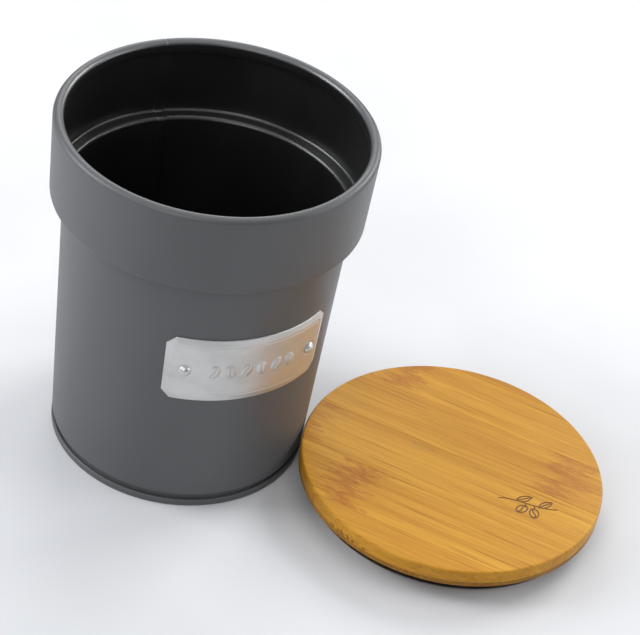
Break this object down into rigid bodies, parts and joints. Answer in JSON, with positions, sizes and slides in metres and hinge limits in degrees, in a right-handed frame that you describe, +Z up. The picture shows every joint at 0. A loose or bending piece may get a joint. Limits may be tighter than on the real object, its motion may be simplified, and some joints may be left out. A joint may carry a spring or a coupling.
{
  "type": "kitchen canister",
  "caption": "Round sheet-steel storage canister with a stepped collar, curled rim, riveted label plate and a laminated bamboo lid with a seal, shown lying beside it.",
  "frame": {"origin": "on the tin's axis, in the plane the tin and the lid stand on", "axes": "+Z up along the tin's axis; -Y is the front, with the label front right; the lid lies towards +X"},
  "size_m": [0.2099, 0.1301, 0.1305],
  "materials": {
    "powder_coat": "satin powder coat, grey",
    "label_tinplate": "fine brushed, satin",
    "rivet_steel": "satin",
    "bamboo_top": "oiled, satin",
    "bamboo_core": "oiled, satin",
    "bamboo_plug": "sanded",
    "silicone": "matte, dark grey"
  },
  "bodies": {
    "tin": {"body_shell": "powder_coat", "base_disc": "powder_coat", "label_plate": "label_tinplate", "label_rivet_left": "rivet_steel", "label_rivet_right": "rivet_steel"},
    "lid": {"lid_top_strip_1": "bamboo_top", "lid_top_strip_2": "bamboo_top", "lid_top_strip_3": "bamboo_top", "lid_top_strip_4": "bamboo_top", "lid_top_strip_5": "bamboo_top", "lid_top_strip_6": "bamboo_top", "lid_core_strip_1": "bamboo_core", "lid_core_strip_2": "bamboo_core", "lid_core_strip_3": "bamboo_core", "lid_core_strip_4": "bamboo_core", "lid_core_strip_5": "bamboo_core", "lid_plug_strip_1": "bamboo_plug", "lid_plug_strip_2": "bamboo_plug", "lid_plug_strip_3": "bamboo_plug", "lid_plug_strip_4": "bamboo_plug", "lid_plug_strip_5": "bamboo_plug", "seal_ring": "silicone"}
  },
  "joints": [
    {"name": "lid_lift", "type": "slide", "parent": "tin", "child": "lid", "axis": [0.3352, -0.0677, 0.9397], "range_m": [0, 0.2]}
  ]
}
